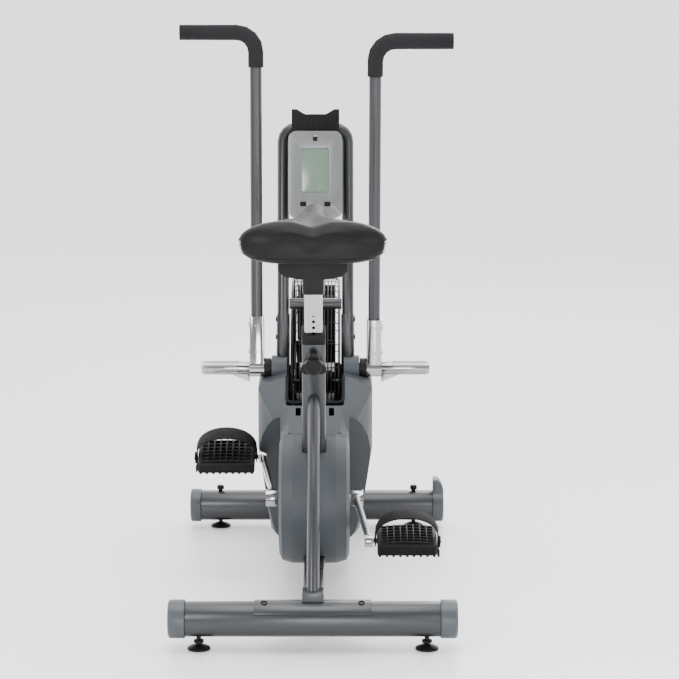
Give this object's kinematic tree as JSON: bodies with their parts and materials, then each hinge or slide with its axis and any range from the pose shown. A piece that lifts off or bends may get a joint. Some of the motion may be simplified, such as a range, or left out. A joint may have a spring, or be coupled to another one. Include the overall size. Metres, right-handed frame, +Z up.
{
  "type": "air bike",
  "caption": "Upright fan-braked exercise bike with coupled swinging arms, caged fan, adjustable saddle, console, pedals with straps and levelling feet.",
  "frame": {"origin": "on the floor, under the middle of the bike's box", "axes": "+Z up, the rider faces +Y, +X is the rider's right"},
  "size_m": [0.64, 1.249, 1.2861],
  "materials": {
    "frame_grey": "satin metallic powder coat",
    "casing_grey": "fine moulded texture",
    "cap_plastic": "satin moulded",
    "black_plastic": "fine moulded texture",
    "rubber": "matt moulded",
    "foam": "closed-cell foam",
    "chrome": "bright plated",
    "black_steel": "black coat",
    "vinyl": "grained vinyl",
    "silver": "metallic silver paint",
    "lcd": "grey-green display",
    "aluminium": "machined"
  },
  "bodies": {
    "frame": {"stabilizer_rear": "frame_grey", "stabilizer_front": "frame_grey", "cap_rear_left": "cap_plastic", "cap_rear_right": "cap_plastic", "cap_front_left": "cap_plastic", "cap_front_right": "cap_plastic", "rear_bracket": "frame_grey", "base_beam": "frame_grey", "rear_strut": "frame_grey", "seat_tube": "frame_grey", "post_bushing": "black_plastic", "bb_shell": "frame_grey", "fan_fork": "frame_grey", "upright_left": "frame_grey", "upright_right": "frame_grey", "mast": "frame_grey", "crossbar": "frame_grey", "console_housing": "black_plastic", "console_face": "silver", "console_window": "lcd", "reading_rack": "black_plastic", "shroud_left": "casing_grey", "shroud_right": "casing_grey", "drum_cover_left": "casing_grey", "drum_cover_right": "casing_grey", "fan_trim": "rubber", "fan_cage_left": "black_steel", "fan_cage_right": "black_steel", "drive_belt": "rubber"},
    "seat": {"seat_post": "chrome", "saddle": "vinyl", "saddle_pan": "black_plastic", "saddle_clamp": "black_steel"},
    "pop_pin": {"pop_pin": "black_plastic"},
    "crank": {"spindle": "aluminium", "crank_pulley": "black_plastic", "crank_left": "chrome", "crank_right": "chrome"},
    "fan": {"fan_wheel": "black_steel", "fan_pulley": "aluminium"},
    "pedal_left": {"pedal_left": "black_plastic", "pedal_strap_left": "rubber"},
    "arm_left": {"arm_bracket_left": "chrome", "arm_tube_left": "frame_grey", "grip_left": "foam", "foot_peg_left": "chrome"},
    "link_left": {"link_rod_left": "black_steel"},
    "button_left": {"button_left": "black_plastic"},
    "foot_rear_left": {"foot_rear_left": "black_plastic"},
    "foot_front_left": {"foot_front_left": "black_plastic"},
    "pedal_right": {"pedal_right": "black_plastic", "pedal_strap_right": "rubber"},
    "arm_right": {"arm_bracket_right": "chrome", "arm_tube_right": "frame_grey", "grip_right": "foam", "foot_peg_right": "chrome"},
    "link_right": {"link_rod_right": "black_steel"},
    "button_right": {"button_right": "black_plastic"},
    "foot_rear_right": {"foot_rear_right": "black_plastic"},
    "foot_front_right": {"foot_front_right": "black_plastic"}
  },
  "joints": [
    {"name": "seat_height", "type": "slide", "parent": "frame", "child": "seat", "axis": [0, -0.2924, 0.9563], "range_m": [-0.09, 0.06]},
    {"name": "pop_pin_pull", "type": "slide", "parent": "frame", "child": "pop_pin", "axis": [0, -0.9563, -0.2924], "range_m": [0, 0.008], "stiffness_N_per_m": 800},
    {"name": "fan_spin", "type": "hinge", "parent": "frame", "child": "fan", "pos_m": [0, 0.305, 0.4], "axis": [1, 0, 0], "continuous": true},
    {"name": "crank_spin", "type": "hinge", "parent": "frame", "child": "crank", "pos_m": [0, -0.175, 0.23], "axis": [1, 0, 0], "continuous": true},
    {"name": "left_pedal_spin", "type": "hinge", "parent": "crank", "child": "pedal_left", "pos_m": [-0.2, -0.01525, 0.28814], "axis": [1, 0, 0], "continuous": true},
    {"name": "right_pedal_spin", "type": "hinge", "parent": "crank", "child": "pedal_right", "pos_m": [0.2, -0.33475, 0.17186], "axis": [1, 0, 0], "continuous": true},
    {"name": "left_arm_swing", "type": "hinge", "parent": "frame", "child": "arm_left", "pos_m": [-0.12, 0.095, 0.479], "axis": [1, 0, 0], "range_deg": [-6, 18]},
    {"name": "right_arm_swing", "type": "hinge", "parent": "frame", "child": "arm_right", "pos_m": [0.12, 0.095, 0.479], "axis": [1, 0, 0], "range_deg": [-18, 6]},
    {"name": "left_link_turn", "type": "hinge", "parent": "arm_left", "child": "link_left", "pos_m": [-0.0624, 0.08246, 0.35966], "axis": [1, 0, 0], "range_deg": [-18, 6]},
    {"name": "right_link_turn", "type": "hinge", "parent": "arm_right", "child": "link_right", "pos_m": [0.0624, 0.10754, 0.35966], "axis": [1, 0, 0], "range_deg": [-6, 18]},
    {"name": "rear_left_foot_level", "type": "slide", "parent": "frame", "child": "foot_rear_left", "axis": [0, 0, -1], "range_m": [0, 0.012]},
    {"name": "rear_right_foot_level", "type": "slide", "parent": "frame", "child": "foot_rear_right", "axis": [0, 0, -1], "range_m": [0, 0.012]},
    {"name": "front_left_foot_level", "type": "slide", "parent": "frame", "child": "foot_front_left", "axis": [0, 0, -1], "range_m": [0, 0.003]},
    {"name": "front_right_foot_level", "type": "slide", "parent": "frame", "child": "foot_front_right", "axis": [0, 0, -1], "range_m": [0, 0.003]},
    {"name": "left_button_press", "type": "slide", "parent": "frame", "child": "button_left", "axis": [0, 0.9781, -0.2079], "range_m": [0, 0.0015], "stiffness_N_per_m": 400},
    {"name": "right_button_press", "type": "slide", "parent": "frame", "child": "button_right", "axis": [0, 0.9781, -0.2079], "range_m": [0, 0.0015], "stiffness_N_per_m": 400}
  ],
  "couplings": [
    {"joint": "fan_spin", "follows": "crank_spin", "ratio": 5},
    {"joint": "right_arm_swing", "follows": "left_arm_swing", "ratio": -1},
    {"joint": "left_link_turn", "follows": "left_arm_swing", "ratio": -1},
    {"joint": "right_link_turn", "follows": "left_arm_swing", "ratio": 1}
  ]
}
